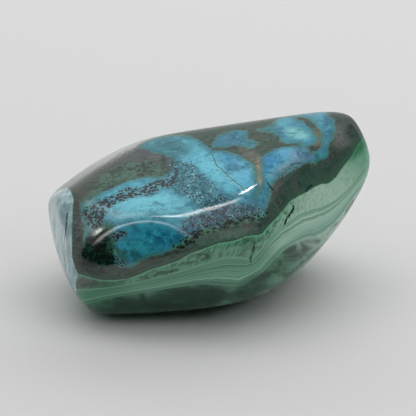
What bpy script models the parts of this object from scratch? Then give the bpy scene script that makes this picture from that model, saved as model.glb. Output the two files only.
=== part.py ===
"""A polished freeform of chrysocolla over banded malachite: one solid stone, lying on the flat of its base.

The stone is about 56 mm long, 39 mm deep and 31 mm high. Its front, a steep flank of banded green malachite
under blue chrysocolla, faces -Y, its blunt right end points to +X, and it rests on a small flat at z = 0.

Its form is that of a pebble ground on a wheel: one plane for each ground face, all of them melted together by
tumbling. Seen from the middle of the stone, a plane with the normal n at the distance d is met in the direction
u at d / (u . n), so q = (u . n) / d is one over that length. The tumbled faces are blended with the power sum
Q = (q1^m + q2^m + ...)^(1/m), where a small power m gives wide rounds. The two late cuts are blended on with a
larger power in the same way, which leaves their edges crisp. The surface lies at 1 / Q along u.
"""

import math

import bmesh
import bpy
import numpy as np

MM = 0.001

# Each ground face: the compass angle of its normal from +X towards +Y and the angle above level, both in
# degrees, and its distance from the middle of the stone in millimetres.
TUMBLED_FACES = {
    "top": (-122, 75, 9.6),
    "top edge, back": (112, 67, 14.1),
    "top edge, back left": (140, 62, 16.3),
    "top edge, back right": (62, 60, 23.4),
    "left shoulder": (163, 58, 15.9),
    "right shoulder": (25, 48, 30.2),
    "brow, left": (-128, 40, 18.0),
    "brow, upper": (-110, 56, 14.0),
    "brow, lower": (-87, 38, 14.7),
    "brow, right": (-60, 42, 15.4),
    "right flank, upper": (-50, 28, 16.6),
    "right flank": (-50, 8, 19.2),
    "right flank, lower": (-45, -25, 19.4),
    "front foot, left": (-92, -14, 17.9),
    "front foot, middle": (-66, -14, 18.2),
    "left front corner": (-132, 2, 25.6),
    "right end": (-5, 5, 33.0),
    "right end, lower": (-9, -19, 24.4),
    "right underside, upper": (-16, -34, 19.8),
    "right underside": (-28, -49, 18.4),
    "left end": (180, 4, 29.4),
    "left end, lower": (-173, -16, 28.4),
    "left underside": (-163, -36, 27.4),
    "front underside, left": (-82, -68, 17.4),
    "front underside, right": (-56, -64, 17.0),
    "back": (100, 8, 17.5),
    "back foot": (98, -42, 19.0),
    "back left": (140, 12, 26.0),
    "back left foot": (145, -40, 24.0),
    "back right": (40, 8, 27.0),
    "back right foot": (35, -35, 26.5),
    "base": (0, -90, 16.6),
}
LATE_CUTS = {
    "left end cut": (-162, 0, 26.3),
    "front window": (-101, 20, 17.0),
}
TUMBLED_POWER = 20
LATE_CUT_POWER = 80

BASE_FLAT_BELOW_MIDDLE = 16.2 * MM  # the flat that it rests on is polished off at this depth
CELLS_PER_CUBE_SIDE = 24
SHARP_EDGE_DEGREES = 24

COLLECTION_NAME = "chrysocolla_specimen"
STONE_COLOUR = (0.055, 0.235, 0.245, 1.0)
STONE_ROUGHNESS = 0.14


def clear_scene():
    for obj in list(bpy.data.objects):
        bpy.data.objects.remove(obj, do_unlink=True)


def ground_planes(faces):
    """The unit normals and the distances in metres of a table of ground faces."""
    table = np.array(list(faces.values()), dtype=float)
    compass, above_level = np.radians(table[:, 0]), np.radians(table[:, 1])
    normals = np.stack(
        [
            np.cos(above_level) * np.cos(compass),
            np.cos(above_level) * np.sin(compass),
            np.sin(above_level),
        ],
        axis=1,
    )
    return normals, table[:, 2] * MM


def nearness(directions, faces):
    """q = (u . n) / d for each direction and each ground face, and 0 where the face looks the other way."""
    normals, distances = ground_planes(faces)
    return np.maximum(directions @ normals.T / distances, 0.0)


def stone_surface(directions):
    """The point of the surface in each direction from the middle of the stone."""
    tumbled = (nearness(directions, TUMBLED_FACES) ** TUMBLED_POWER).sum(axis=1) ** (1 / TUMBLED_POWER)
    cuts = (nearness(directions, LATE_CUTS) ** LATE_CUT_POWER).sum(axis=1)
    reach = (tumbled**LATE_CUT_POWER + cuts) ** (-1 / LATE_CUT_POWER)
    return directions * reach[:, None]


def stone_body():
    """A closed cube-shaped net drawn onto the stone's surface, with the base cut flat."""
    body = bmesh.new()
    bmesh.ops.create_cube(body, size=2.0)
    bmesh.ops.subdivide_edges(body, edges=body.edges[:], cuts=CELLS_PER_CUBE_SIDE - 1, use_grid_fill=True)
    net = np.array([vertex.co[:] for vertex in body.verts])
    spread = np.tan(net * math.pi / 4)  # keeps the cells near one size all round
    directions = spread / np.linalg.norm(spread, axis=1, keepdims=True)
    for vertex, point in zip(body.verts, stone_surface(directions)):
        vertex.co = point
    cut = bmesh.ops.bisect_plane(
        body,
        geom=body.verts[:] + body.edges[:] + body.faces[:],
        plane_co=(0.0, 0.0, -BASE_FLAT_BELOW_MIDDLE),
        plane_no=(0.0, 0.0, -1.0),
        clear_outer=True,
    )
    rim = [item for item in cut["geom_cut"] if isinstance(item, bmesh.types.BMEdge)]
    bmesh.ops.edgeloop_fill(body, edges=rim)
    bmesh.ops.recalc_face_normals(body, faces=body.faces[:])
    return body


def stand_at_origin(body):
    """Moves the body so that it stands on z = 0 with its box centred on the Z axis."""
    points = np.array([vertex.co[:] for vertex in body.verts])
    low, high = points.min(axis=0), points.max(axis=0)
    middle = (low + high) / 2
    bmesh.ops.translate(body, verts=body.verts[:], vec=(-middle[0], -middle[1], -low[2]))


def stone_material():
    material = bpy.data.materials.new("polished chrysocolla and malachite")
    material.use_nodes = True
    shader = material.node_tree.nodes["Principled BSDF"]
    shader.inputs["Base Color"].default_value = STONE_COLOUR
    shader.inputs["Roughness"].default_value = STONE_ROUGHNESS
    shader.inputs["Metallic"].default_value = 0.0
    material.diffuse_color = STONE_COLOUR
    return material


def make_stone(collection):
    body = stone_body()
    stand_at_origin(body)
    mesh = bpy.data.meshes.new("stone")
    body.to_mesh(mesh)
    body.free()
    mesh.materials.append(stone_material())
    mesh.shade_smooth()
    mesh.set_sharp_from_angle(angle=math.radians(SHARP_EDGE_DEGREES))
    stone = bpy.data.objects.new("stone", mesh)
    collection.objects.link(stone)
    return stone


clear_scene()
specimen = bpy.data.collections.new(COLLECTION_NAME)
bpy.context.scene.collection.children.link(specimen)
make_stone(specimen)
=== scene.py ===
import math

import bpy
import numpy as np
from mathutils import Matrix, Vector


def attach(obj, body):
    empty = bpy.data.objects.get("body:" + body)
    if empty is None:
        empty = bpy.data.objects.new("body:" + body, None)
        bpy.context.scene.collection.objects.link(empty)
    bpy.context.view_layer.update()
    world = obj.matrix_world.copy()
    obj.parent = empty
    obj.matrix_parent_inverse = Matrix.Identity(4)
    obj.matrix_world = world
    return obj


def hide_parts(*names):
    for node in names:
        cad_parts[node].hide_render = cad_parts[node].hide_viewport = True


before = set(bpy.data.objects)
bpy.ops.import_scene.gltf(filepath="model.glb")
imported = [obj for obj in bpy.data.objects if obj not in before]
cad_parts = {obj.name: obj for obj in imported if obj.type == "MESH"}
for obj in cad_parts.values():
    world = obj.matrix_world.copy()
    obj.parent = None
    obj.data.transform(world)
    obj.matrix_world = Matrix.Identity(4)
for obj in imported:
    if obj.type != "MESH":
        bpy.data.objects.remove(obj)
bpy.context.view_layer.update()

# The stone's body: one pebble of chrysocolla and malachite, slabbed, ground on a wheel and then
# tumbled until its ground faces melted together. Two faces were cut late and kept crisp edges:
# the narrow left end and the window in the front flank. It was last rubbed flat where it rests.

MM = 0.001

# Each ground face: the compass angle of its normal from +X towards +Y and its angle
# above level, in degrees, and its distance from the stone's middle in millimetres. They
# are those of the solid that this piece stands for.
TUMBLED_FACES = {
    "top": (-122, 75, 9.6),
    "top edge, back": (112, 67, 14.1),
    "top edge, back left": (140, 62, 16.3),
    "top edge, back right": (62, 60, 23.4),
    "left shoulder": (163, 58, 15.9),
    "right shoulder": (25, 48, 30.2),
    "brow, left": (-128, 40, 18.0),
    "brow, upper": (-110, 56, 14.0),
    "brow, lower": (-87, 38, 14.7),
    "brow, right": (-60, 42, 15.4),
    "right flank, upper": (-50, 28, 16.6),
    "right flank": (-50, 8, 19.2),
    "right flank, lower": (-45, -25, 19.4),
    "front foot, left": (-92, -14, 17.9),
    "front foot, middle": (-66, -14, 18.2),
    "left front corner": (-132, 2, 25.6),
    "right end": (-5, 5, 33.0),
    "right end, lower": (-9, -19, 24.4),
    "right underside, upper": (-16, -34, 19.8),
    "right underside": (-28, -49, 18.4),
    "left end": (180, 4, 29.4),
    "left end, lower": (-173, -16, 28.4),
    "left underside": (-163, -36, 27.4),
    "front underside, left": (-82, -68, 17.4),
    "front underside, right": (-56, -64, 17.0),
    "back": (100, 8, 17.5),
    "back foot": (98, -42, 19.0),
    "back left": (140, 12, 26.0),
    "back left foot": (145, -40, 24.0),
    "back right": (40, 8, 27.0),
    "back right foot": (35, -35, 26.5),
    "base": (0, -90, 16.6),
}
LATE_CUTS = {
    "left end cut": (-162, 0, 26.3),
    "front window": (-101, 20, 17.0),
}
TUMBLED_POWER = 20
LATE_CUT_POWER = 80
BASE_FLAT_BELOW_MIDDLE = 16.2  # mm, where the flat that it rests on was rubbed
BASE_EDGE_ROUND = 0.15  # mm
NET_STEPS = 128  # along each side of the cube whose net is drawn onto the stone


def ground_planes(faces):
    """The unit normals and the distances in mm of a table of ground faces.

    With the compass angle c and the angle above level a, a normal is (cos a cos c, cos a sin c, sin a).
    """
    table = np.array(list(faces.values()), dtype=float)
    compass, above_level = np.radians(table[:, 0]), np.radians(table[:, 1])
    level = np.cos(above_level)
    normals = np.stack([level * np.cos(compass), level * np.sin(compass), np.sin(above_level)], axis=1)
    return normals, table[:, 2]


def melted_faces(directions, faces, power):
    """The power sum of q = (u . n) / d over the faces that a direction u looks towards, and its slope."""
    normals, distances = ground_planes(faces)
    nearness = np.maximum(directions @ normals.T / distances, 0.0)
    total = (nearness**power).sum(axis=1)
    slope = (nearness ** (power - 1) / distances) @ normals
    return total, slope


def stone_form(directions):
    """Points in mm and unit normals, by direction from the stone's middle.

    One over the reach of the surface is (T^c + C)^(1/c), where T is the tumbled faces' power sum to the
    power 1/t, C is the late cuts' power sum, and t and c are the two powers. The normal is its slope.
    """
    tumbled, tumbled_slope = melted_faces(directions, TUMBLED_FACES, TUMBLED_POWER)
    cuts, cuts_slope = melted_faces(directions, LATE_CUTS, LATE_CUT_POWER)
    rounded = tumbled ** (1 / TUMBLED_POWER)
    rounded_slope = tumbled_slope * (rounded / tumbled)[:, None]
    whole = rounded**LATE_CUT_POWER + cuts
    slope = rounded_slope * rounded[:, None] ** (LATE_CUT_POWER - 1) + cuts_slope
    normals = slope / np.linalg.norm(slope, axis=1, keepdims=True)
    return directions * whole[:, None] ** (-1 / LATE_CUT_POWER), normals


def cube_net(steps):
    """The whole-number points on a cube's surface, each once, and its square cells, facing outwards."""
    first, second = np.meshgrid(np.arange(steps + 1), np.arange(steps + 1), indexing="ij")
    side_points, side_cells = [], []
    for axis in range(3):
        for end in (0, steps):
            side = np.empty((steps + 1, steps + 1, 3), dtype=np.int64)
            side[..., axis] = end
            side[..., (axis + 1) % 3] = first
            side[..., (axis + 2) % 3] = second
            already = len(side_points) * (steps + 1) ** 2
            place = already + np.arange((steps + 1) ** 2).reshape(steps + 1, steps + 1)
            cell = np.stack([place[:-1, :-1], place[1:, :-1], place[1:, 1:], place[:-1, 1:]], axis=-1)
            side_cells.append(cell.reshape(-1, 4)[:, :: 1 if end else -1])
            side_points.append(side.reshape(-1, 3))
    points, index = np.unique(np.concatenate(side_points), axis=0, return_inverse=True)
    return points, index.reshape(-1)[np.concatenate(side_cells)]


lattice, cells = cube_net(NET_STEPS)
spread = np.tan((2 * lattice / NET_STEPS - 1) * math.pi / 4)  # keeps the cells near one size all round
directions = spread / np.linalg.norm(spread, axis=1, keepdims=True)
form, form_normals = stone_form(directions)

# The flat is a soft floor for heights: h becomes (h + sqrt(h^2 + r^2)) / 2, level below
# it and unchanged above.
height = form[:, 2] + BASE_FLAT_BELOW_MIDDLE
body = form.copy()
body[:, 2] = (height + np.sqrt(height**2 + BASE_EDGE_ROUND**2)) / 2
low, high = body.min(axis=0), body.max(axis=0)
footprint_middle = np.append((low + high)[:2] / 2, low[2])
stone_middle = (0, 0, BASE_FLAT_BELOW_MIDDLE) - footprint_middle  # mm, from the middle of the footprint
points = (body - footprint_middle) * MM


# The stone's markings: layers of the two minerals, laid out on a flat chart of the show side and
# carried round the hidden side as tilted, rippled beds. Lengths on the chart are in mm, to the right and
# up from the stone's middle, as an eye sees them from 300 mm in front and 22 degrees above level.
CHART_RISE = math.radians(22)
CHART_DISTANCE = 300.0
CHART_MIDDLE = (-0.3, 0.0, 0.0)  # mm from the stone's middle
chart_right = np.array([1.0, 0.0, 0.0])
chart_out = np.array([0.0, -math.cos(CHART_RISE), math.sin(CHART_RISE)])  # from the stone towards the eye
chart_up = np.cross(chart_out, chart_right)

from_chart_middle = form - CHART_MIDDLE
nearer = CHART_DISTANCE / (CHART_DISTANCE - from_chart_middle @ chart_out)
chart = np.stack([from_chart_middle @ chart_right * nearer, from_chart_middle @ chart_up * nearer], axis=1)
to_eye = chart_out * CHART_DISTANCE - from_chart_middle
to_eye /= np.linalg.norm(to_eye, axis=1, keepdims=True)
facing = (form_normals * to_eye).sum(axis=1)


def smooth_step(low, high, value):
    """0 below low, 1 above high, and 3t^2 - 2t^3 of the way t between."""
    t = np.clip((value - low) / (high - low), 0.0, 1.0)
    return t * t * (3 - 2 * t)


# How far a point takes the chart's markings, from 0 on the hidden side to 1 where it faces the eye
shown = smooth_step(-0.02, 0.16, facing)


def curve_through(marks, closed, steps=5):
    """A Catmull-Rom curve through given marks, as short straight pieces.

    From the mark m to the mark a after it, with b before them and y beyond, it is half of 2m + (a - b) t +
    (2b - 5m + 4a - y) t^2 + (3m - b - 3a + y) t^3.
    """
    marks = np.array(marks, dtype=float)
    before, after, beyond = (np.roll(marks, shift, axis=0) for shift in (1, -1, -2))
    if not closed:
        before[0], after[-1], beyond[-2:] = marks[0], marks[-1], marks[-1]
    t = (np.arange(steps) / steps)[None, :, None]
    b, m, a, y = (array[:, None, :] for array in (before, marks, after, beyond))
    square, cube = 2 * b - 5 * m + 4 * a - y, 3 * m - b - 3 * a + y
    curve = (0.5 * (2 * m + (a - b) * t + square * t**2 + cube * t**3)).reshape(-1, 2)
    return np.concatenate([curve, curve[:1]]) if closed else curve[: (len(marks) - 1) * steps + 1]


LEAST_SHARE = 0.35  # keeps the distances on steep slopes from running away
TINY = 1e-9  # keeps a length of nothing out of the divisions


def nearest_on(curve):
    """For each point: the distance to the curve in mm along the stone's surface, and the side it is on.

    A distance on the chart is shorter than the surface's own by the share of its direction that lies along
    the surface, sqrt(1 - (g . n)^2), where g is that direction in space and n is the surface's normal.
    """
    best = np.full(len(chart), np.inf)
    side = np.ones(len(chart))
    offset = np.zeros_like(chart)
    for start, end in zip(curve[:-1], curve[1:]):
        along = end - start
        reach = chart - start
        t = np.clip(reach @ along / max(float(along @ along), TINY), 0.0, 1.0)
        away = reach - t[:, None] * along
        distance = np.hypot(away[:, 0], away[:, 1])
        closer = distance < best
        best = np.where(closer, distance, best)
        side = np.where(closer, np.sign(along[0] * reach[:, 1] - along[1] * reach[:, 0]), side)
        offset[closer] = away[closer]
    heading = offset / np.maximum(best, TINY)[:, None]
    in_space = heading[:, :1] * chart_right + heading[:, 1:] * chart_up
    share = np.sqrt(np.maximum(1 - (in_space * form_normals).sum(axis=1) ** 2, 0.0))
    return best / np.clip(share, LEAST_SHARE, 1.0), side


def inside(marks):
    """Distance in mm inside the closed outline through the marks, negative outside.

    A point is inside where a line from it to the right crosses the outline an odd number of times.
    """
    curve = curve_through(marks, closed=True)
    distance, _ = nearest_on(curve)
    x, y = chart[:, 0], chart[:, 1]
    crossings = np.zeros(len(chart), dtype=int)
    for (x0, y0), (x1, y1) in zip(curve[:-1], curve[1:]):
        spans = (y0 > y) != (y1 > y)
        crossings += spans & (x < (x1 - x0) * (y - y0) / ((y1 - y0) or TINY) + x0)
    return np.where(crossings % 2 == 1, distance, -distance)


def beneath(marks):
    """Distance in mm below the open line through the marks, which runs left to right. Negative above it."""
    distance, side = nearest_on(curve_through(marks, closed=False))
    return -side * distance


def ripple(wavelength, seed):
    """An uneven wave through the stone, from about -1 to 1: 1.6 times the mean of six seeded sine waves."""
    chance = np.random.default_rng(seed)
    headings = chance.normal(size=(6, 3))
    headings *= (2 * math.pi / wavelength) / np.linalg.norm(headings, axis=1, keepdims=True)
    headings *= chance.uniform(0.7, 1.4, size=(6, 1))
    return np.sin(form @ headings.T + chance.uniform(0, 2 * math.pi, 6)).mean(axis=1) * 1.6


def carried_round(on_chart, in_beds):
    """The chart's value where the stone faces the eye, and the beds' own value on the hidden side."""
    return on_chart * shown + in_beds * (1 - shown)


# Where the malachite begins, under the dark seam, and the pale bed inside it
MALACHITE_TOP = [
    (-31, -9), (-24.6, -10.6), (-22.5, -11.3), (-20.3, -12.0), (-18.1, -12.5), (-13.9, -12.2),
    (-10.0, -10.7), (-5.6, -9.3), (-3.0, -7.9), (0.0, -6.8), (2.0, -6.1), (4.3, -5.7), (7.1, -4.8),
    (9.1, -4.6), (10.2, -3.5), (11.7, -1.8), (13.3, -0.1), (14.3, 1.2), (16.3, 2.4), (19.0, 3.9),
    (21.0, 4.4), (22.1, 5.4), (23.5, 7.3), (24.6, 8.7), (25.6, 10.4), (26.6, 11.8), (28.5, 14.5),
]
PALE_BED_TOP = [
    (-31, -14), (-24.9, -14.2), (-19.9, -14.0), (-16.9, -13.7), (-13.9, -13.2), (-10.0, -12.3),
    (-7.0, -11.6), (-2.8, -10.3), (2.0, -8.8), (4.7, -8.5), (7.3, -8.8), (8.1, -8.3), (9.2, -6.9),
    (10.6, -5.2), (12.5, -3.3), (14.2, -2.1), (16.3, -0.8), (18.7, -0.1), (20.7, 0.6), (23.0, 2.1),
    (25.3, 4.5), (28.5, 9.0),
]
PALE_BED_FOOT = [
    (-31, -18.5), (-23.9, -17.6), (-20.9, -16.7), (-17.9, -15.9), (-15.3, -15.3), (-12.0, -14.8),
    (-9.0, -14.3), (-5.0, -13.6), (-2.0, -13.2), (1.0, -13.3), (5.2, -13.6), (7.1, -12.6), (9.6, -10.9),
    (11.7, -8.6), (14.0, -6.6), (17.1, -5.2), (18.7, -4.9), (20.2, -4.0), (22.5, -1.9), (24.9, 1.4),
    (28.5, 6.0),
]
# The blue chrysocolla: the broad main body, the strip that runs down from the right
# shoulder, the bow round the orb at the back of the top, the orb itself and a loose patch
MAIN_BODY = [
    (-21.8, -0.7), (-22.1, 0.9), (-19.9, 2.4), (-18.0, 2.9), (-15.6, 4.0), (-13.5, 4.8), (-10.9, 5.3),
    (-8.3, 5.4), (-6.6, 6.2), (-5.7, 7.4), (-6.2, 8.7), (-8.3, 9.3), (-10.7, 10.0), (-11.8, 10.7),
    (-10.0, 11.8), (-7.4, 12.4), (-4.8, 12.6), (-2.8, 12.3), (-1.4, 11.6), (-0.3, 10.6), (0.9, 9.9),
    (3.1, 9.8), (5.0, 9.3), (6.1, 8.6), (7.1, 8.0), (8.0, 6.9), (8.5, 5.0), (8.7, 3.5), (8.5, 1.9),
    (10.0, -1.0), (7.6, -1.7), (5.7, -2.2), (3.6, -2.5), (1.7, -3.2), (-0.3, -3.8), (-2.2, -4.6),
    (-3.6, -5.6), (-5.0, -6.6), (-7.0, -7.4), (-9.0, -8.1), (-11.0, -8.8), (-12.8, -9.8), (-14.4, -10.2),
    (-15.9, -10.0), (-18.0, -9.9), (-20.1, -9.3), (-21.1, -8.1), (-21.5, -5.5), (-21.5, -2.9),
]
SHOULDER_STRIP = [
    (9.4, 8.8), (10.2, 9.4), (11.8, 10.2), (13.3, 10.6), (15.2, 10.7), (17.0, 10.4), (17.9, 9.7),
    (19.4, 9.7), (20.6, 9.0), (19.0, 8.1), (17.1, 7.6), (15.4, 7.1), (14.0, 6.2), (12.5, 5.4), (11.2, 4.0),
    (10.9, 2.2), (10.4, 0.5), (9.7, -0.9), (8.1, 0.0), (8.0, 1.4), (8.7, 2.4), (9.2, 3.8), (9.4, 5.4),
    (9.2, 7.3),
]
BACK_BOW = [
    (14.5, 16.1), (15.9, 16.6), (17.9, 17.0), (20.2, 16.6), (21.7, 15.2), (22.1, 13.7), (21.7, 12.3),
    (21.1, 11.1), (20.8, 9.9), (20.6, 8.8), (19.0, 9.2), (19.5, 10.4), (19.7, 11.8), (19.3, 13.3),
    (18.5, 14.6), (17.1, 15.5), (15.6, 15.8),
]
ORB = [
    (8.3, 13.7), (10.2, 14.1), (11.8, 15.2), (13.7, 15.8), (15.4, 15.4), (17.0, 14.4), (18.3, 13.1),
    (18.9, 11.9), (18.1, 11.2), (16.8, 10.8), (15.2, 11.2), (13.7, 11.2), (12.5, 11.5), (12.1, 12.5),
    (10.2, 13.1), (8.7, 13.3),
]
LOOSE_PATCH = [
    (0.7, 10.8), (1.5, 12.3), (3.1, 13.1), (5.0, 13.5), (6.7, 13.3), (6.9, 11.9), (8.5, 11.3), (8.3, 10.8),
    (7.1, 10.2), (5.6, 10.8), (3.4, 10.6), (2.1, 10.5),
]
# The mossy green patch at the left of the top, and the dark streak inside it
MOSS = [
    (-22.1, 1.1), (-19.9, 3.3), (-18.3, 5.7), (-15.9, 7.3), (-13.0, 7.9), (-10.0, 8.1), (-8.0, 7.5),
    (-7.0, 6.5), (-8.4, 5.5), (-11.0, 5.3), (-13.5, 4.9), (-15.5, 4.1), (-17.9, 2.9), (-20.3, 1.3),
]
MOSS_STREAK = [
    (-17.3, 6.2), (-15.2, 6.8), (-11.8, 7.0), (-9.0, 7.0), (-10.0, 6.3), (-13.5, 6.0), (-16.6, 5.6),
]
# The pale chrysocolla that the left end is cut through
END_CUT = [
    (-23.4, 2.1), (-23.4, -0.3), (-23.5, -4.7), (-23.5, -8.3), (-22.6, -11.4), (-22.8, -12.8),
    (-22.8, -14.2), (-23.1, -15.2), (-23.9, -17.0), (-29.1, -15.9), (-30.8, -5.5), (-29.1, 3.1),
    (-25.3, 4.2),
]
END_CUT_EDGE = 0.25  # mm short of the cut's plane, where its face ends on the hidden side
END_CUT_SPREAD = 4.0  # mm along the surface for each mm that it falls away from the plane
# The black green corner behind the window cut's left end
BLACK_CORNER = [
    (-21.8, -9.4), (-21.6, -6.6), (-20.7, -5.0), (-18.8, -3.8), (-17.5, -3.7), (-17.1, -5.2), (-16.9, -7.0),
    (-16.0, -8.6), (-15.4, -9.8), (-17.2, -10.4), (-19.8, -10.3),
]
# The clear blue that the window cut opens
WINDOW = [
    (-16.6, -4.2), (-15.2, -3.1), (-12.6, -2.6), (-9.2, -2.4), (-6.2, -3.1), (-3.5, -4.2), (-1.4, -5.2),
    (-0.9, -6.6), (-3.1, -7.6), (-5.7, -8.7), (-8.7, -9.3), (-11.8, -10.2), (-13.8, -10.4), (-14.9, -8.7),
    (-16.3, -6.6),
]
# Swarms of small dark spots
LEFT_SWARM = [
    (-22.0, -0.7), (-19.9, 0.9), (-17.3, 1.9), (-14.4, 3.6), (-11.6, 3.8), (-8.8, 5.2), (-6.9, 5.2),
    (-6.2, 6.6), (-6.9, 8.3), (-5.5, 8.3), (-4.8, 6.2), (-5.5, 4.2), (-7.4, 3.1), (-10.0, 2.2),
    (-12.6, 1.7), (-15.2, 0.9), (-17.0, -0.3), (-18.0, -2.4), (-19.2, -4.0), (-20.8, -3.5), (-21.6, -2.1),
]
MIDDLE_SWARM = [
    (-6.6, 7.4), (-3.1, 8.0), (-0.5, 5.7), (1.2, 4.0), (3.1, 2.2), (4.2, 0.9), (2.4, -0.3), (-0.5, -0.7),
    (-2.2, 0.9), (-4.0, 2.2), (-6.2, 3.1),
]
ROSE_SWARM = [
    (-2.2, -0.9), (1.2, 0.0), (4.7, 0.7), (7.3, 0.5), (9.7, -0.7), (7.3, -1.6), (3.6, -2.4), (-0.3, -3.6),
    (-3.1, -4.8), (-4.8, -3.8), (-4.3, -2.4),
]
WINDOW_SWARM = [
    (-17.6, -4.4), (-15.8, -3.6), (-13.6, -4.0), (-14.2, -5.2), (-15.5, -6.2), (-15.4, -8.0), (-13.6, -9.4),
    (-14.2, -10.4), (-15.8, -10.2), (-16.4, -8.4), (-16.5, -6.0),
]
SHOULDER_SWARM = [
    (11.1, 3.5), (12.5, 4.9), (14.6, 6.2), (15.4, 7.2), (13.8, 7.3), (12.5, 6.3), (11.1, 4.8),
]
# Black green grains along the foot of the main body
EDGE_GRAINS = [
    (-3.2, -4.4), (-0.3, -3.1), (3.6, -1.9), (7.6, -1.0), (9.9, -0.3), (10.3, -1.5), (7.6, -2.6),
    (3.6, -3.4), (-0.3, -4.7), (-3.2, -6.3), (-5.2, -7.4), (-6.0, -6.6),
]
# Healed cracks, filled pale, and open ones, filled dark
PALE_CRACKS = [
    [(-23.5, -8.8), (-23.0, -10.4), (-22.5, -11.5)],
    [(0.6, 9.0), (1.3, 7.4), (2.3, 6.6), (3.3, 5.5), (4.2, 4.8), (5.4, 3.8), (6.3, 2.9)],
]
DARK_CRACKS = [
    [(14.4, 0.9), (14.8, 0.2), (14.6, -0.5), (14.2, -1.1), (13.6, -1.9), (13.3, -2.7)],
    [(17.0, 2.9), (17.4, 3.5), (17.9, 3.9)],
    [(10.3, 4.4), (10.9, 3.5), (11.2, 3.2)],
    [(8.0, -6.1), (7.8, -7.3), (7.4, -8.5), (7.4, -9.3)],
    [(-24.4, -1.2), (-24.6, -3.6), (-24.9, -6.2), (-24.9, -8.4), (-24.6, -10.4)],
    [(14.6, 7.5), (15.2, 7.8), (16.2, 7.7)],
]

# The beds on the hidden side: the malachite's top is a rippled plane that rises to the
# right and to the back
BED_HEIGHT = 2.0  # mm above the stone's middle
BED_RISE_RIGHT, BED_RISE_BACK = 0.20, 0.20
WIDE_FOLDS, SMALL_FOLDS = 2.2, 0.7  # mm up and down
height_under_bed = BED_HEIGHT + BED_RISE_RIGHT * form[:, 0] + BED_RISE_BACK * form[:, 1] - form[:, 2]
bed = height_under_bed / math.sqrt(1 + BED_RISE_RIGHT**2 + BED_RISE_BACK**2)
bed = bed + WIDE_FOLDS * ripple(26, 3) + SMALL_FOLDS * ripple(9, 4)
below_malachite_top = carried_round(beneath(MALACHITE_TOP), bed)

# A place in the beds is 0 at the pale bed's top and 1 at its foot. On the hidden side
# it swings back and forth.
BED_SET = 5.5  # mm from 0 to 1 on the hidden side
BED_SET_TOP = -0.7  # mm under the malachite's top
BED_SWING = 1.6
BED_SWING_START = -0.3
on_chart = beneath(PALE_BED_TOP)
thickness = np.maximum(on_chart - beneath(PALE_BED_FOOT), 1.0)
swing = np.abs(np.mod((bed - BED_SET_TOP) / BED_SET, 2 * BED_SWING) - BED_SWING)
bed_place = carried_round(on_chart / thickness, swing + BED_SWING_START)

# Which mineral a point is in: distances in mm inside each, with the seam left over between them
NOWHERE = -3.0  # mm, for a mineral that the hidden side doesn't have
HIDDEN_SEAM = 1.5  # mm thick
STREAK_EDGE, STREAK_DEPTH = 0.5, 1.6  # mm outside the streak where the moss thins, and how fast
blues = [inside(marks) for marks in (MAIN_BODY, SHOULDER_STRIP, BACK_BOW, ORB, LOOSE_PATCH)]
hidden_blue = -bed - HIDDEN_SEAM + 2.0 * ripple(13, 7)
in_blue = carried_round(np.max(blues, axis=0), hidden_blue)
moss_streak = STREAK_DEPTH * np.maximum(inside(MOSS_STREAK) + STREAK_EDGE, 0)
in_moss = carried_round(inside(MOSS) - moss_streak, NOWHERE)
in_window = carried_round(smooth_step(-0.3, 0.5, inside(WINDOW)), 0.0)
in_black = carried_round(inside(BLACK_CORNER), NOWHERE)
cut_normals, cut_distances = ground_planes({"left end cut": LATE_CUTS["left end cut"]})
short_of_cut = cut_distances[0] - form @ cut_normals[0]
in_end_cut = carried_round(inside(END_CUT), END_CUT_SPREAD * (END_CUT_EDGE - short_of_cut))

# Each swarm of spots: its outline, how crowded it is, and where it fades in, in mm inside the outline
SWARMS = (
    (LEFT_SWARM, 1.0, -0.7, 0.9),
    (WINDOW_SWARM, 0.8, -0.5, 0.9),
    (SHOULDER_SWARM, 0.6, -0.5, 0.7),
    (ROSE_SWARM, 0.42, -1.0, 0.6),
    (MIDDLE_SWARM, 0.56, -0.8, 1.0),
)
clots = [crowd * smooth_step(edge, full, inside(marks)) for marks, crowd, edge, full in SWARMS]
spots = np.max(clots, axis=0)
rose = smooth_step(-1.0, 0.6, inside(ROSE_SWARM))
rings = np.maximum(smooth_step(-1.0, 0.8, inside(MIDDLE_SWARM)), 0.8 * rose)
edge_grains = smooth_step(-0.5, 0.4, inside(EDGE_GRAINS))
deep_in_blue = smooth_step(0.2, 1.6, hidden_blue)
spots = carried_round(spots, smooth_step(0.2, 0.8, ripple(12, 11)) * deep_in_blue)
rings = carried_round(rings, smooth_step(0.2, 0.8, ripple(14, 12)) * deep_in_blue)
rose = carried_round(rose, smooth_step(0.4, 0.9, ripple(13, 16)) * deep_in_blue)
edge_grains = carried_round(edge_grains, smooth_step(0.9, 0.1, np.abs(hidden_blue)))

# The beds run calm at the right end, and the blue is plain at the far side of the top
calm_end = carried_round(smooth_step(11, 19, chart[:, 0]), 0.3)
far_side = carried_round(smooth_step(7.5, 12, chart[:, 1]), 0.3)


def linear(colours):
    """Linear light of colours in 0 to 255 screen steps: ((s + 0.055) / 1.055)^2.4 for a share s of 255."""
    steps = np.array(colours, dtype=float) / 255
    return np.where(steps <= 0.04045, steps / 12.92, ((steps + 0.055) / 1.055) ** 2.4)


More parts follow.
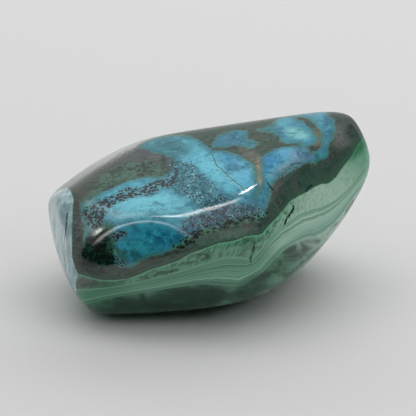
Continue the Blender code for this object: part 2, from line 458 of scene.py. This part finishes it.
def washed(base, hidden, tints, seed):
    """A colour for each point: a base with soft oval tints on the chart, and rippled colours where hidden.

    A tint is its colour, the place of its middle and its half width and height in mm, its turn in degrees
    and its share. At r times its half sizes it takes exp(-r^4 / 2) of that share.
    """
    colours = np.repeat(linear([base]), len(chart), axis=0)
    for colour, (x, y), (half_width, half_height), turn, share in tints.values():
        turn = math.radians(turn)
        right, up = (chart - (x, y)).T
        across = (right * math.cos(turn) + up * math.sin(turn)) / half_width
        along = (up * math.cos(turn) - right * math.sin(turn)) / half_height
        part = share * np.exp(-((across**2 + along**2) ** 2) / 2)
        colours += part[:, None] * (linear(colour) - colours)
    behind = np.repeat(linear([hidden[0]]), len(chart), axis=0)
    for step, colour in enumerate(hidden[1:]):
        part = 0.85 * smooth_step(0.1, 0.7, ripple(9 + 3 * step, seed + step))
        behind += part[:, None] * (linear(colour) - behind)
    return colours * shown[:, None] + behind * (1 - shown[:, None])


BLUE = (88, 176, 200)
BLUE_TINTS = {
    "far teal": ((54, 118, 126), (-6.6, 10.8), (5.6, 2.2), 4, 0.85),
    "sky over the brow": ((128, 216, 234), (-9.0, 0.4), (8.0, 2.0), 3, 0.95),
    "sky down the middle": ((112, 208, 230), (1.4, 6.6), (5.6, 1.9), -48, 0.9),
    "between the gleams": ((104, 172, 188), (-11.5, -1.8), (8.5, 1.2), 0, 0.7),
    "ground of the rings": ((58, 126, 146), (-2.2, 3.2), (5.8, 2.4), -26, 0.85),
    "left shallows": ((112, 152, 144), (-20.6, -1.6), (1.8, 3.6), 0, 0.85),
    "deep corner": ((34, 108, 132), (2.5, 1.2), (2.3, 1.1), 14, 0.85),
    "lobe, upper": ((62, 150, 192), (3.4, 8.6), (2.8, 1.3), -35, 0.8),
    "lobe, heart": ((106, 190, 224), (5.8, 6.2), (2.0, 1.5), -40, 0.9),
    "window": ((34, 152, 178), (-7.6, -5.0), (6.4, 2.7), -10, 0.97),
    "window, deep": ((8, 88, 116), (-8.2, -5.0), (2.4, 1.2), -20, 0.75),
    "window, right": ((24, 112, 146), (-3.8, -5.6), (2.6, 1.0), -22, 0.8),
    "window, green": ((16, 86, 84), (-12.2, -7.6), (3.6, 1.7), -8, 0.85),
    "rose": ((132, 140, 156), (3.4, -1.3), (6.0, 1.3), 11, 0.85),
    "rose, right": ((56, 128, 138), (6.8, -0.2), (1.6, 0.8), 15, 0.75),
    "right of the rose": ((66, 136, 158), (8.6, 1.0), (1.6, 1.8), 0, 0.8),
    "strip, neck": ((56, 140, 172), (9.2, 4.0), (1.0, 2.6), 0, 0.8),
    "strip, deep": ((46, 140, 192), (10.8, 8.2), (1.7, 1.4), 40, 0.95),
    "strip, middle": ((84, 170, 212), (13.0, 9.4), (1.6, 1.0), 10, 0.9),
    "strip, lavender": ((124, 166, 200), (16.2, 9.0), (2.2, 1.2), -8, 0.9),
    "strip, foot": ((128, 160, 178), (13.6, 7.0), (2.4, 0.8), 28, 0.8),
    "orb, left": ((74, 128, 122), (10.0, 13.8), (2.2, 0.9), 12, 0.9),
    "orb, ring": ((66, 144, 168), (15.2, 12.8), (3.0, 1.9), -10, 0.8),
    "orb, heart": ((140, 212, 216), (15.4, 12.9), (1.8, 0.8), -14, 0.97),
    "loose patch": ((58, 122, 146), (4.2, 11.8), (4.2, 1.8), 0, 0.9),
    "bow, back": ((78, 146, 172), (17.6, 16.2), (3.4, 0.7), 0, 0.8),
    "bow, deep": ((42, 102, 138), (20.8, 14.0), (0.8, 1.6), 12, 0.95),
    "bow, foot": ((90, 160, 182), (20.2, 10.8), (0.9, 1.6), 0, 0.8),
}
SEAM = (58, 82, 74)
SEAM_TINTS = {
    "top, far": ((66, 92, 84), (5.0, 12.6), (12.0, 3.0), 8, 0.9),
    "top, green": ((58, 92, 70), (8.0, 11.6), (2.6, 1.2), -30, 0.7),
    # Painted sheen: a near-white band along the top-left edge, where the polish is seen at a grazing angle
    "painted sheen on the top-left rim": ((216, 219, 216), (-16.4, 9.4), (7.4, 1.0), 27, 0.9),
    "purple shade": ((98, 100, 108), (-10.5, 8.9), (4.6, 1.1), 3, 0.9),
    "left top": ((66, 78, 70), (-19.6, 4.6), (3.4, 2.6), 35, 0.8),
    "left border": ((60, 74, 68), (-22.4, -3.6), (1.0, 5.4), 0, 0.8),
    "below the window": ((78, 94, 88), (-13.0, -11.0), (8.0, 1.0), 6, 0.8),
    "saddle": ((120, 124, 116), (7.6, 8.9), (2.2, 1.1), -42, 0.85),
    # A cream gap at the foot of the saddle, lightened into a painted highlight along its edge
    "saddle, foot, painted highlight": ((196, 196, 172), (8.9, 5.9), (0.6, 2.2), 2, 0.9),
    "cream by the orb": ((150, 142, 128), (18.8, 12.0), (0.8, 1.2), 8, 0.9),
    # Grey mineral on the right shoulder, lightened into a painted soft highlight
    "shoulder": ((130, 136, 132), (23.4, 12.5), (2.2, 1.7), 35, 0.9),
    "dark by the corner": ((20, 28, 25), (-20.6, -10.4), (3.2, 0.9), -8, 0.8),
    "middle": ((100, 138, 124), (3.0, -5.3), (5.4, 1.2), 12, 0.8),
    "under the strip": ((64, 92, 82), (16.5, 4.8), (6.0, 1.3), 30, 0.85),
    "dark shoulder": ((72, 86, 84), (25.4, 13.8), (1.8, 3.4), 28, 0.9),
    "right of the neck": ((92, 92, 88), (11.8, 3.6), (1.0, 1.6), 20, 0.7),
}
GREEN = (118, 178, 150)
GREEN_TINTS = {
    "right band": ((182, 224, 204), (14.4, -3.6), (4.4, 2.0), 42, 0.85),
    "left upper bed": ((44, 104, 74), (-18.6, -13.2), (3.4, 0.9), 0, 0.8),
    "left wedge": ((108, 112, 106), (-21.6, -13.0), (2.2, 0.9), 0, 0.85),
    "left end": ((58, 146, 106), (-19.0, -15.4), (4.6, 1.3), 5, 0.8),
    # The two foot tints darken the malachite towards the bottom: its own dark lower bed, deepened with
    # painted shade where the stone meets the table
    "foot, left": ((2, 66, 46), (-12.0, -17.6), (13.0, 2.4), 7, 0.97),
    "foot, middle": ((6, 64, 46), (-2.0, -15.4), (6.0, 2.0), 10, 0.8),
    "foot, right": ((80, 142, 112), (13.2, -9.6), (3.6, 1.6), 44, 0.8),
    # Painted shade near the foot as well, over the malachite's own darker green
    "dark, lower": ((24, 70, 52), (7.4, -13.9), (3.4, 1.6), 34, 0.9),
    "dark, upper": ((36, 84, 60), (16.4, -7.0), (3.6, 1.4), 36, 0.85),
    # Pale green on the right flank: malachite green with a painted reflection of the white floor over it
    "right flank": ((190, 222, 204), (20.5, -0.5), (5.6, 7.6), -35, 0.9),
    "bright edge": ((56, 128, 88), (26.2, 10.9), (1.0, 3.0), -38, 0.9),
}
HIDDEN_BLUES = [(70, 150, 172), (120, 196, 212), (28, 104, 140), (84, 136, 136)]
HIDDEN_SEAMS = [(52, 62, 56), (88, 84, 80), (36, 52, 44)]
HIDDEN_GREENS = [(92, 148, 120), (52, 92, 70), (112, 164, 140), (38, 74, 56)]
# These washes are mostly the minerals' own colours; the tints marked above as painted sheen, highlight,
# reflection and shade ride in them too
WASHES = {
    "blue_wash": washed(BLUE, HIDDEN_BLUES, BLUE_TINTS, seed=21),
    "seam_wash": washed(SEAM, HIDDEN_SEAMS, SEAM_TINTS, seed=31),
    "green_wash": washed(GREEN, HIDDEN_GREENS, GREEN_TINTS, seed=41),
}

CRACKS_PAST = 9.0  # mm, added to the distance on the hidden side, where there are no cracks


def nearest_crack(cracks):
    """The signed distance in mm to the nearest crack's line, and the plain distance."""
    found = [nearest_on(curve_through(marks, closed=False)) for marks in cracks]
    distances = np.array([distance for distance, _ in found])
    sides = np.array([side for _, side in found])
    which = distances.argmin(axis=0)
    each = np.arange(len(which))
    distance = distances[which, each] + CRACKS_PAST * (1 - shown)
    return distance * sides[which, each], distance


def carry(mesh, name, values):
    """Writes one number, or one colour, for each point onto a mesh."""
    kind, slot = ("FLOAT", "value") if values.ndim == 1 else ("FLOAT_COLOR", "color")
    attribute = mesh.attributes.new(name, kind, "POINT")
    attribute.data.foreach_set(slot, values.astype(np.float32).ravel())


stone_mesh = bpy.data.meshes.new("polished_stone")
stone_mesh.from_pydata(points, [], cells.tolist())
stone_mesh.shade_smooth()
MARKINGS = {  # carried to the finish, one number for each point
    "below_malachite_top": below_malachite_top,
    "bed_place": bed_place,
    "in_blue": in_blue,
    "in_moss": in_moss,
    "in_window": in_window,
    "in_black": in_black,
    "in_end_cut": in_end_cut,
    "spots": spots,
    "rings": rings,
    "rose": rose,
    "edge_grains": edge_grains,
    "calm": calm_end,
    "far": far_side,
}
for kind, cracks in {"pale": PALE_CRACKS, "dark": DARK_CRACKS}.items():
    MARKINGS[kind + "_crack_side"], MARKINGS[kind + "_crack_far"] = nearest_crack(cracks)
for marking, values in MARKINGS.items():
    carry(stone_mesh, marking, values)
for wash, colours in WASHES.items():
    carry(stone_mesh, wash, np.insert(colours, 3, 1.0, axis=1))
stone = bpy.data.objects.new("polished_stone", stone_mesh)
bpy.context.scene.collection.objects.link(stone)


# The stone's finish: a high polish over two copper minerals. The polish is a clear skin
# that mirrors the room. Under it the chrysocolla is a cloudy blue with dark orbs, the
# malachite is banded green, and the seam between them is black copper ore.
SCALE_OF_MM = 1000.0  # the texture scale that makes grains about 1 mm across


def screen_colour(steps):
    """A colour given in 0 to 255 screen steps, as a socket takes it."""
    return (*map(float, linear(steps)), 1.0)


class Channel:
    """A number or colour that varies over the surface. Arithmetic on it adds Math nodes to its material."""

    def __init__(self, finish, socket):
        self.finish, self.socket = finish, socket

    def math(self, operation, *values):
        """The result of one Math node on channels and plain numbers."""
        return self.finish.node("ShaderNodeMath", {"operation": operation}, dict(enumerate(values)))

    def __add__(self, other):
        return self.math("ADD", self, other)

    def __sub__(self, other):
        return self.math("SUBTRACT", self, other)

    def __rsub__(self, other):
        return self.math("SUBTRACT", other, self)

    def __mul__(self, other):
        return self.math("MULTIPLY", self, other)

    __radd__, __rmul__ = __add__, __mul__

    def __abs__(self):
        return self.math("ABSOLUTE", self)

    def most(self, other):
        """The greater of two, at each point."""
        return self.math("MAXIMUM", self, other)

    def step(self, low, high):
        """0 at low and 1 at high, smooth between. With high under low it falls instead."""
        sockets = {"Value": self, "From Min": low, "From Max": high, "To Min": 0.0, "To Max": 1.0}
        return self.finish.node("ShaderNodeMapRange", {"interpolation_type": "SMOOTHSTEP"}, sockets)


class Finish:
    """A material whose Principled shader is fed by expressions."""

    def __init__(self, name):
        self.material = bpy.data.materials.new(name)
        self.material.use_nodes = True
        self.nodes = self.material.node_tree.nodes
        self.links = self.material.node_tree.links
        self.shader = self.nodes["Principled BSDF"]

    def feed(self, node, sockets):
        """Gives a node's sockets their values, or links channels to them."""
        for name, value in sockets.items():
            if isinstance(value, Channel):
                self.links.new(value.socket, node.inputs[name])
            else:
                node.inputs[name].default_value = value

    def node(self, kind, settings, sockets, output=0):
        """Adds a node: its settings first, then its sockets' values or links."""
        node = self.nodes.new(kind)
        for name, value in settings.items():
            setattr(node, name, value)
        self.feed(node, sockets)
        return Channel(self, node.outputs[output])

    def marking(self, name):
        """A number that the mesh carries at each point."""
        return self.node("ShaderNodeAttribute", {"attribute_name": name}, {}, output="Fac")

    def wash(self, name):
        """A colour that the mesh carries at each point."""
        return self.node("ShaderNodeAttribute", {"attribute_name": name}, {}, output="Color")

    def place(self, stretch, turn):
        """Object coordinates for a grain that is so many times longer along each axis and then turned."""
        raw = self.node("ShaderNodeTexCoord", {}, {}, output="Object")
        sockets = {"Vector": raw, "Rotation": tuple(map(math.radians, turn)), "Scale": stretch}
        return self.node("ShaderNodeMapping", {"vector_type": "TEXTURE"}, sockets)

    def grain(self, size, detail=3.0, roughness=0.55, distortion=0.0, stretch=(1, 1, 1), turn=(0, 0, 0)):
        """Cloudy noise from about 0.2 to 0.8, with its largest grains about so many mm across."""
        sockets = {"Scale": SCALE_OF_MM / size, "Detail": detail, "Roughness": roughness}
        sockets.update({"Distortion": distortion, "Vector": self.place(stretch, turn)})
        return self.node("ShaderNodeTexNoise", {}, sockets)

    def lines(self, along, detail=4.0, roughness=0.6):
        """Uneven stripes along a channel: noise of one number."""
        sockets = {"W": along, "Scale": 1.0, "Detail": detail, "Roughness": roughness}
        return self.node("ShaderNodeTexNoise", {"noise_dimensions": "1D"}, sockets)

    def specks(self, spacing, length=1.0, turn=0):
        """Scattered specks: the distance in mm to the nearest one's middle, and a chance value for each."""
        where = self.place((length, 1, 1), (0, turn, 0))
        sockets = {"Vector": where, "Scale": SCALE_OF_MM / spacing, "Randomness": 1.0}
        chance = self.node("ShaderNodeTexVoronoi", {}, sockets, output="Color")
        return self.node("ShaderNodeTexVoronoi", {}, sockets) * spacing, chance

    def mix(self, share, below, above):
        """Below at a share of 0 and above at 1. Each colour is a channel or in 0 to 255 screen steps."""
        colours = [each if isinstance(each, Channel) else screen_colour(each) for each in (below, above)]
        settings = {"data_type": "RGBA", "clamp_factor": True}
        return self.node("ShaderNodeMix", settings, {0: share, 6: colours[0], 7: colours[1]}, output=2)

    def layers(self, base, coats):
        """Lays named coats over a base in their order. Each coat is a share and a colour."""
        for share, colour in coats.values():
            base = self.mix(share, base, colour)
        return base


polish = Finish("polished chrysocolla and malachite")
fine = polish.grain(0.45, detail=4) - 0.5
middling = polish.grain(1.6, detail=5, roughness=0.6) - 0.5
broad = polish.grain(5.0, detail=4, distortion=0.6) - 0.5

# Chrysocolla: clouded blue, paler and deeper in drifts a millimetre or two wide and in finer
# crackle. It is clear behind the window cut, milky elsewhere, and plainest at the far side.
drift = polish.grain(2.4, detail=8, roughness=0.66, distortion=0.6, stretch=(1.3, 1, 0.8), turn=(0, 12, 0))
crackle = polish.grain(0.8, detail=6, roughness=0.72, distortion=0.5)
fibres = polish.grain(0.6, detail=5, roughness=0.7, stretch=(2.2, 1, 0.6), turn=(0, 14, 0))
dust = polish.grain(0.35, detail=4, roughness=0.7) - 0.5
clear = polish.marking("in_window")
milky = 1 - 0.85 * clear
busy = (0.35 + 0.65 * broad.step(-0.06, 0.12)) * (1 - 0.6 * polish.marking("far"))
blue = polish.layers(polish.wash("blue_wash"), {
    "deep drifts": (drift.step(0.5, 0.36) * 0.6, (16, 94, 120)),
    "milky drifts": (drift.step(0.52, 0.66) * 0.35 * milky, (124, 220, 240)),
    "clear drifts": (drift.step(0.48, 0.58) * 0.6 * clear, (58, 188, 210)),
    "deep crackle": (crackle.step(0.49, 0.37) * 0.6 * busy, (10, 84, 104)),
    "milky crackle": (crackle.step(0.53, 0.66) * 0.35 * busy * milky, (150, 230, 242)),
    "deep dust": (dust.step(-0.03, -0.13) * 0.4 * busy, (20, 92, 112)),
    "deep fibres": (fibres.step(0.48, 0.34) * 0.3 * busy, (22, 104, 118)),
    "milky fibres": (fibres.step(0.53, 0.66) * 0.25 * milky, (140, 222, 238)),
})

# Its border: an uneven teal rim, with a line of dull green along the very edge
blue_in = polish.marking("in_blue") + 1.7 * middling + 0.9 * fine
rim_lines = polish.lines(blue_in * 2.2 + broad * 3.0, detail=3)
here_and_there = broad.step(-0.1, 0.14)
blue = polish.layers(blue, {
    "teal rim": (blue_in.step(1.5, 0.2) * (0.2 + 0.6 * rim_lines), (44, 116, 122)),
    "green edge": (blue_in.step(0.5, 0.05) * (0.25 + 0.6 * here_and_there), (84, 134, 112)),
})

# Dark seam: copper ore in fine leaves that follow the malachite under it, stained by both its neighbours
below = polish.marking("below_malachite_top") + 0.4 * middling + 0.15 * fine
calm = polish.marking("calm")
plain = calm.most(0.6 * polish.marking("far"))
streaks = polish.lines(below * 1.2 + blue_in * 1.4 + broad * 1.5, detail=5, roughness=0.7)
leaves = polish.lines(below * 2.8 + broad * 2.0 + fine * 0.6, detail=4, roughness=0.7)
seam = polish.layers(polish.wash("seam_wash"), {
    "pale streaks": (streaks.step(0.5, 0.64) * (0.45 - 0.3 * plain), (104, 122, 112)),
    "black streaks": (streaks.step(0.5, 0.36) * (0.65 - 0.4 * plain), (18, 28, 25)),
    "black leaves": (leaves.step(0.5, 0.36) * (0.55 - 0.4 * plain), (24, 34, 30)),
    "pale leaves": (leaves.step(0.52, 0.66) * (0.3 - 0.25 * plain), (112, 130, 118)),
    "brown drifts": (drift.step(0.52, 0.62) * 0.4, (96, 88, 78)),
    "green drifts": (drift.step(0.48, 0.38) * 0.4, (38, 66, 50)),
    "green crackle": (crackle.step(0.54, 0.68) * 0.45, (70, 108, 90)),
    "black crackle": (crackle.step(0.46, 0.34) * 0.5, (24, 32, 30)),
    "malachite stain": (below.step(-1.0 - 0.8 * calm, -0.1) * (0.5 + 0.35 * calm), (68, 104, 86)),
    "grey by the blue": (blue_in.step(-0.9, -0.1) * here_and_there * 0.5, (88, 92, 84)),
})

# Malachite: a pale bed of fine stripes, parted by dark hair lines, between darker mottled ones
HAIR_LINES = {0.20: 0.7, 0.29: 0.5, 0.38: 0.35, 0.47: 0.7, 0.55: 0.45, 0.66: 0.4, 0.84: 0.5}  # place, share
HAIR_HALF_WIDTH = 0.03  # of the pale bed's thickness
bed_at = polish.marking("bed_place") + 0.10 * middling + 0.05 * broad
strokes = polish.grain(0.8, detail=5, roughness=0.6, distortion=0.3, stretch=(0.5, 0.8, 2), turn=(0, 32, 0))
blotches = polish.grain(1.5, detail=5, roughness=0.65, stretch=(2.0, 1.5, 0.7), turn=(0, -15, 0))
stripes = polish.lines(bed_at * 15.0 + middling * 0.5 + broad)
wide_stripes = polish.lines(bed_at * 5.0 + broad * 0.6, detail=2)
upper_bed = bed_at.step(0.03, -0.05)
pale_bed = bed_at.step(-0.03, 0.03) * bed_at.step(1.04, 0.97)
bluish_end = bed_at.step(0.45, 0.75) * bed_at.step(1.02, 0.9) * calm
green = polish.layers(polish.wash("green_wash"), {
    "strokes": (upper_bed * (0.9 - 0.6 * calm) * (0.2 + 0.6 * strokes.step(0.44, 0.62)), (50, 90, 70)),
    "blotches": (upper_bed * (1 - calm) * blotches.step(0.54, 0.64) * 0.7, (36, 66, 50)),
    "dark stripes": (pale_bed * stripes.step(0.5, 0.78) * (0.5 - 0.25 * calm), (58, 112, 86)),
    "pale stripes": (pale_bed * stripes.step(0.48, 0.25) * 0.6, (146, 198, 170)),
    "wide dark stripes": (pale_bed * wide_stripes.step(0.48, 0.62) * 0.6, (70, 124, 98)),
    "wide pale stripes": (pale_bed * wide_stripes.step(0.48, 0.34) * 0.6, (170, 216, 192)),
    "bluish end": (bluish_end * 0.35, (84, 158, 146)),
})
for place, share in HAIR_LINES.items():
    hair = abs(bed_at - place).step(HAIR_HALF_WIDTH, 0.0) * (1 - 0.85 * calm)
    green = polish.mix(hair * share * (0.4 + 0.8 * blotches), green, (36, 82, 62))
lower_bed = bed_at.step(0.98 - 0.06 * calm, 1.06 + 0.2 * calm)
mottle = polish.grain(3.4, detail=5, roughness=0.5, distortion=0.6, stretch=(1.6, 1, 0.8), turn=(0, 20, 0))
green = polish.layers(green, {
    "pale top of the bed": (abs(bed_at - 0.03).step(0.07, 0.01) * 0.6, (136, 192, 160)),
    "dark mottle": (lower_bed * mottle.step(0.64, 0.40) * 0.75, (2, 50, 34)),
    "pale mottle": (lower_bed * mottle.step(0.55, 0.70) * (0.1 + 0.3 * calm), (74, 134, 104)),
    "dark fibres": (lower_bed * fibres.step(0.5, 0.36) * (0.35 - 0.3 * calm), (14, 42, 30)),
})

# The minerals are grown together: a pale line parts seam and malachite, and moss green
# creeps into the blue
contact_line = abs(below - 0.12).step(0.22, 0.04) * (0.45 + 0.45 * crackle.step(0.4, 0.6))
black_in = polish.marking("in_black") + 3.0 * middling + 1.6 * fine
mossy_fringe = black_in.step(-1.9, -0.3) * blue_in.step(0.3, 1.2)
black_green = polish.mix(crackle.step(0.5, 0.64) * 0.8, (5, 18, 14), (24, 80, 58))
moss_in = polish.marking("in_moss") + 1.2 * middling + 1.2 * fine
moss = polish.mix((0.6 * crackle + 0.4 * drift).step(0.44, 0.54), (48, 62, 56), (80, 118, 102))
rock = polish.layers(seam, {
    "malachite": (below.step(-0.05, 0.12), green),
    "contact line": (contact_line * (1 - 0.6 * calm), (120, 192, 150)),
    "chrysocolla": (blue_in.step(-0.3, 0.15), blue),
    "fringe": (mossy_fringe * 0.9, (40, 58, 46)),
    "moss in the fringe": (mossy_fringe * crackle.step(0.44, 0.58), (62, 122, 74)),
    "black green corner": (black_in.step(-0.3, 0.5) * 0.97, black_green),
    "mossy patch": (moss_in.step(-0.4, 0.6), moss),
})

# Grains: dark specks that crowd into clots, purple black in the rose band and teal black among the rings.
# The rings are pale blue with a speck in the middle, and finer black green grains line the blue's foot.
ragged = polish.grain(0.25, detail=2) - 0.5
swarm = polish.marking("spots")
crowd = (swarm * (0.98 + 0.6 * broad + 0.4 * middling)).most(0.0)
clot_far, clot_chance = polish.specks(0.46, length=1.3, turn=20)
clot = clot_far + 0.4 * ragged - crowd * (0.23 + 0.15 * clot_chance)
ring_room = polish.marking("rings") + 0.8 * middling
ring_far, ring_chance = polish.specks(0.95)
ring_far = ring_far + 0.2 * ragged
ring_size = 0.22 + 0.15 * ring_chance
ring = abs(ring_far - ring_size).step(0.10, 0.03) * ring_room.step(0.25, 0.55) * ring_chance.step(0.3, 0.5)
heart = (ring_far - 0.55 * ring_size).step(0.03, -0.04) * ring_room.step(0.25, 0.5)
in_rose = polish.marking("rose")
speck_colour = polish.mix(clot_chance.step(0.3, 0.7), (26, 20, 28), (58, 38, 46))
speck_colour = polish.mix((ring_room - 1.3 * in_rose).step(0.1, 0.6) * 0.75, speck_colour, (18, 42, 52))
edge = polish.marking("edge_grains")
pepper_far, pepper_chance = polish.specks(0.5, length=1.5, turn=-20)
pepper = pepper_far + 0.3 * ragged - edge * (0.15 + 0.22 * pepper_chance)
rock = polish.layers(rock, {
    "ground of the clots": (swarm.step(0.15, 0.7) * (0.25 + 0.3 * crackle), (40, 104, 118)),
    "halo round a speck": (clot.step(0.14, 0.02) * swarm.step(0.1, 0.5) * 0.35, (138, 208, 212)),
    "ground of the rings": (ring_room.step(0.2, 0.7) * crackle.step(0.56, 0.42) * 0.7, (24, 84, 102)),
    "ring": (ring * (0.3 + 0.6 * crackle), (146, 210, 218)),
    "ring's heart": (heart * 0.8, (34, 44, 58)),
    "speck": (clot.step(0.03, -0.03) * swarm.step(0.05, 0.2) * 0.95, speck_colour),
    "rose dust": (in_rose * dust.step(-0.02, 0.1) * 0.8, (88, 60, 74)),
    "ground of the pepper": (edge.step(0.2, 0.8) * crackle.step(0.45, 0.6) * 0.6, (84, 148, 116)),
    "pepper": (pepper.step(0.03, -0.03) * edge.step(0.05, 0.2) * 0.95, (16, 30, 24)),
})

# The left end is cut through pale, milky chrysocolla, streaked upright
upright = polish.grain(1.8, detail=6, roughness=0.6, distortion=0.5, stretch=(1, 1.4, 3), turn=(14, 0, 0))
pale_end = polish.layers(polish.mix(upright.step(0.36, 0.64), (128, 162, 168), (182, 211, 215)), {
    "deep drifts": (drift.step(0.48, 0.38) * 0.5, (96, 142, 150)),
    "milky fibres": (fibres.step(0.54, 0.66) * 0.4, (214, 230, 230)),
})
end_in = polish.marking("in_end_cut") + 0.3 * middling


# The cracks: the healed ones are a broken pale line with a thin dark one beside it, and
# the open ones dark
def crack_line(kind, outer, full, waver, beside=0.0):
    """A line so far in mm beside each crack of a kind: 1 up to full from it, 0 past outer, and wavering."""
    side = polish.marking(kind + "_crack_side") - beside + waver * middling
    near = polish.marking(kind + "_crack_far").step(0.6, 0.3)
    return abs(side).step(outer, full) * near


pale_line = crack_line("pale", 0.16, 0.04, waver=0.45)
thin_line = crack_line("pale", 0.13, 0.04, waver=0.45, beside=0.15)
dark_line = crack_line("dark", 0.26, 0.10, waver=0.12) * (0.35 + 1.4 * blotches.step(0.35, 0.6))
rock = polish.layers(rock, {
    "left end": (end_in.step(-0.1, 0.15), pale_end),
    "healed crack": (pale_line * (0.15 + fine.step(-0.1, 0.1) * 0.5), (176, 214, 206)),
    "its dark edge": (thin_line * 0.9, (34, 66, 68)),
    "open crack": (dark_line * 0.8, (14, 58, 48)),
})

# The polish: the softer drifts take it less well, and it dips at the cracks
POLISH_REFRACTION = 1.5
POLISH_ROUGHNESS, ROUGHNESS_SPREAD = 0.08, 0.10
BUMP_DEPTH = 0.00003  # m
gloss = POLISH_ROUGHNESS + ROUGHNESS_SPREAD * (middling + 0.5)
uneven = 0.5 * middling + 0.12 * fine - 0.25 * dark_line - 0.15 * thin_line
bump = polish.node("ShaderNodeBump", {}, {"Strength": 1.0, "Distance": BUMP_DEPTH, "Height": uneven})
sockets = {"Base Color": rock, "Roughness": gloss, "Normal": bump, "IOR": POLISH_REFRACTION}
polish.feed(polish.shader, sockets)
stone_mesh.materials.append(polish.material)
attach(stone, "root")
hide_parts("stone")


# The table: a wide sheet of matt white card, laid flat under the stone. It runs far
# past the view, so that it is floor and backdrop in one.
TABLE_HALF = 1.5  # m
CARD_WHITE = (220, 220, 220)
table_corners = [(x * TABLE_HALF, y * TABLE_HALF, 0) for x, y in ((-1, -1), (1, -1), (1, 1), (-1, 1))]
table_mesh = bpy.data.meshes.new("table")
table_mesh.from_pydata(table_corners, [], [(0, 1, 2, 3)])
table = bpy.data.objects.new("table", table_mesh)
bpy.context.scene.collection.objects.link(table)
card = Finish("white card")
sockets = {"Base Color": screen_colour(CARD_WHITE), "Roughness": 0.75, "Specular IOR Level": 0.2}
card.feed(card.shader, sockets)
table_mesh.materials.append(card.material)

# The room as the polish mirrors it, on a dome round the stone: black cloth hung low down on
# the side of the eye, a strip of window light above it, a lamp overhead, two bright gaps, and
# a pale wall on the other sides. The bright ones are only mirrored and light nothing.
STONE_HEART = (0, 0, 0.015)  # m
CLOTH_BLACK = (0.02, 0.02, 0.02, 1)
PATCH_POINTS = (41, 21)  # across and up

# Each patch: its compass angles and its angles above level, in degrees, its strength, and its radius in m
ROOM = {
    "cloth_left": ((-168, -98), (0, 24), 0, 1.2),
    "cloth_right": ((-98, 18), (0, 36), 0, 1.2),
    "pale_wall": ((-20, 230), (-60, 60), 0.66, 1.4),
    "window_strip": ((-152, -100), (23, 33), 7.0, 1.2),
    "overhead_lamp": ((-150, -40), (63, 72), 15.0, 1.2),
    "overhead_lamp_end": ((140, 204), (48, 74), 2.5, 1.2),
    "bright_gap_left": ((-174, -165), (33, 38), 26.0, 1.2),
    "bright_gap_top": ((-24, 28), (74, 83), 60.0, 1.2),
}


def room_patch(name, compass, rise, strength, radius):
    """A patch of the dome round the stone, between two compass angles and two angles above level.

    A bright patch fades out towards its edges, to a share of (1 - s^4)^2 (1 - t^4)^2, where s and t run
    from -1 to 1 across it. A patch without strength is plain black cloth.
    """
    across, up = np.meshgrid(*(np.linspace(-1, 1, count) for count in PATCH_POINTS), indexing="ij")
    turn = np.radians(np.mean(compass) + across * np.ptp(compass) / 2)
    tilt = np.radians(np.mean(rise) + up * np.ptp(rise) / 2)
    dome = np.stack([np.cos(turn) * np.cos(tilt), np.sin(turn) * np.cos(tilt), np.sin(tilt)], axis=-1)
    place = np.arange(turn.size).reshape(turn.shape)
    panes = np.stack([place[:-1, :-1], place[:-1, 1:], place[1:, 1:], place[1:, :-1]], axis=-1)
    mesh = bpy.data.meshes.new(name)
    mesh.from_pydata(radius * dome.reshape(-1, 3) + STONE_HEART, [], panes.reshape(-1, 4).tolist())
    finish = Finish(name)
    finish.feed(finish.shader, {"Base Color": CLOTH_BLACK, "Roughness": 1.0, "Specular IOR Level": 0.0})
    if strength:
        fade = ((1 - across**4) * (1 - up**4)) ** 2
        carry(mesh, "fade", fade.ravel())
        glow = {"Emission Color": (1, 1, 1, 1), "Emission Strength": strength}
        finish.feed(finish.shader, {"Alpha": finish.marking("fade"), **glow})
    mesh.materials.append(finish.material)
    patch = bpy.data.objects.new(name, mesh)
    patch.visible_camera = False
    patch.visible_diffuse = not strength
    patch.visible_shadow = False
    patch.visible_transmission = False
    bpy.context.scene.collection.objects.link(patch)


for name, (compass, rise, strength, radius) in ROOM.items():
    room_patch(name, compass, rise, strength, radius)


# Light: a pale room and three soft panels, one overhead, one behind and one at the
# right, all turned towards the stone. The polish doesn't mirror the panels.
ROOM_WHITE = (1.0, 1.0, 1.0, 1)
ROOM_STRENGTH = 0.57
PANELS = {  # place and width in m, and power in W
    "overhead panel": ((0.05, 0.16, 1.1), 1.9, 4.4),
    "back panel": ((0.30, 0.78, 0.64), 1.5, 3.2),
    "side panel": ((0.70, -0.40, 0.55), 0.6, 1.0),
}
world = bpy.data.worlds.new("pale room")
world.use_nodes = True
background = world.node_tree.nodes["Background"]
background.inputs["Color"].default_value = ROOM_WHITE
background.inputs["Strength"].default_value = ROOM_STRENGTH
bpy.context.scene.world = world

for name, (place, width, power) in PANELS.items():
    light = bpy.data.lights.new(name, "AREA")
    light.shape = "RECTANGLE"
    light.size, light.size_y = width, width / 3  # m
    light.energy = power
    lamp = bpy.data.objects.new(name, light)
    lamp.location = place
    lamp.rotation_euler = (Vector(place) - Vector(STONE_HEART)).to_track_quat("Z", "Y").to_euler()
    lamp.visible_glossy = False
    bpy.context.scene.collection.objects.link(lamp)


# The camera: a long close-up lens at the chart's own eye, level from side to side and
# aimed at the chart's middle.
eye = bpy.data.cameras.new("eye")
eye.sensor_width = 36  # mm
eye.lens = 150  # mm
camera = bpy.data.objects.new("eye", eye)
target = (CHART_MIDDLE + stone_middle) * MM
camera.location = target + chart_out * CHART_DISTANCE * MM
camera.rotation_euler = (math.pi / 2 - CHART_RISE, 0, 0)
bpy.context.scene.collection.objects.link(camera)
bpy.context.scene.camera = camera
bpy.context.scene.view_settings.view_transform = "Standard"
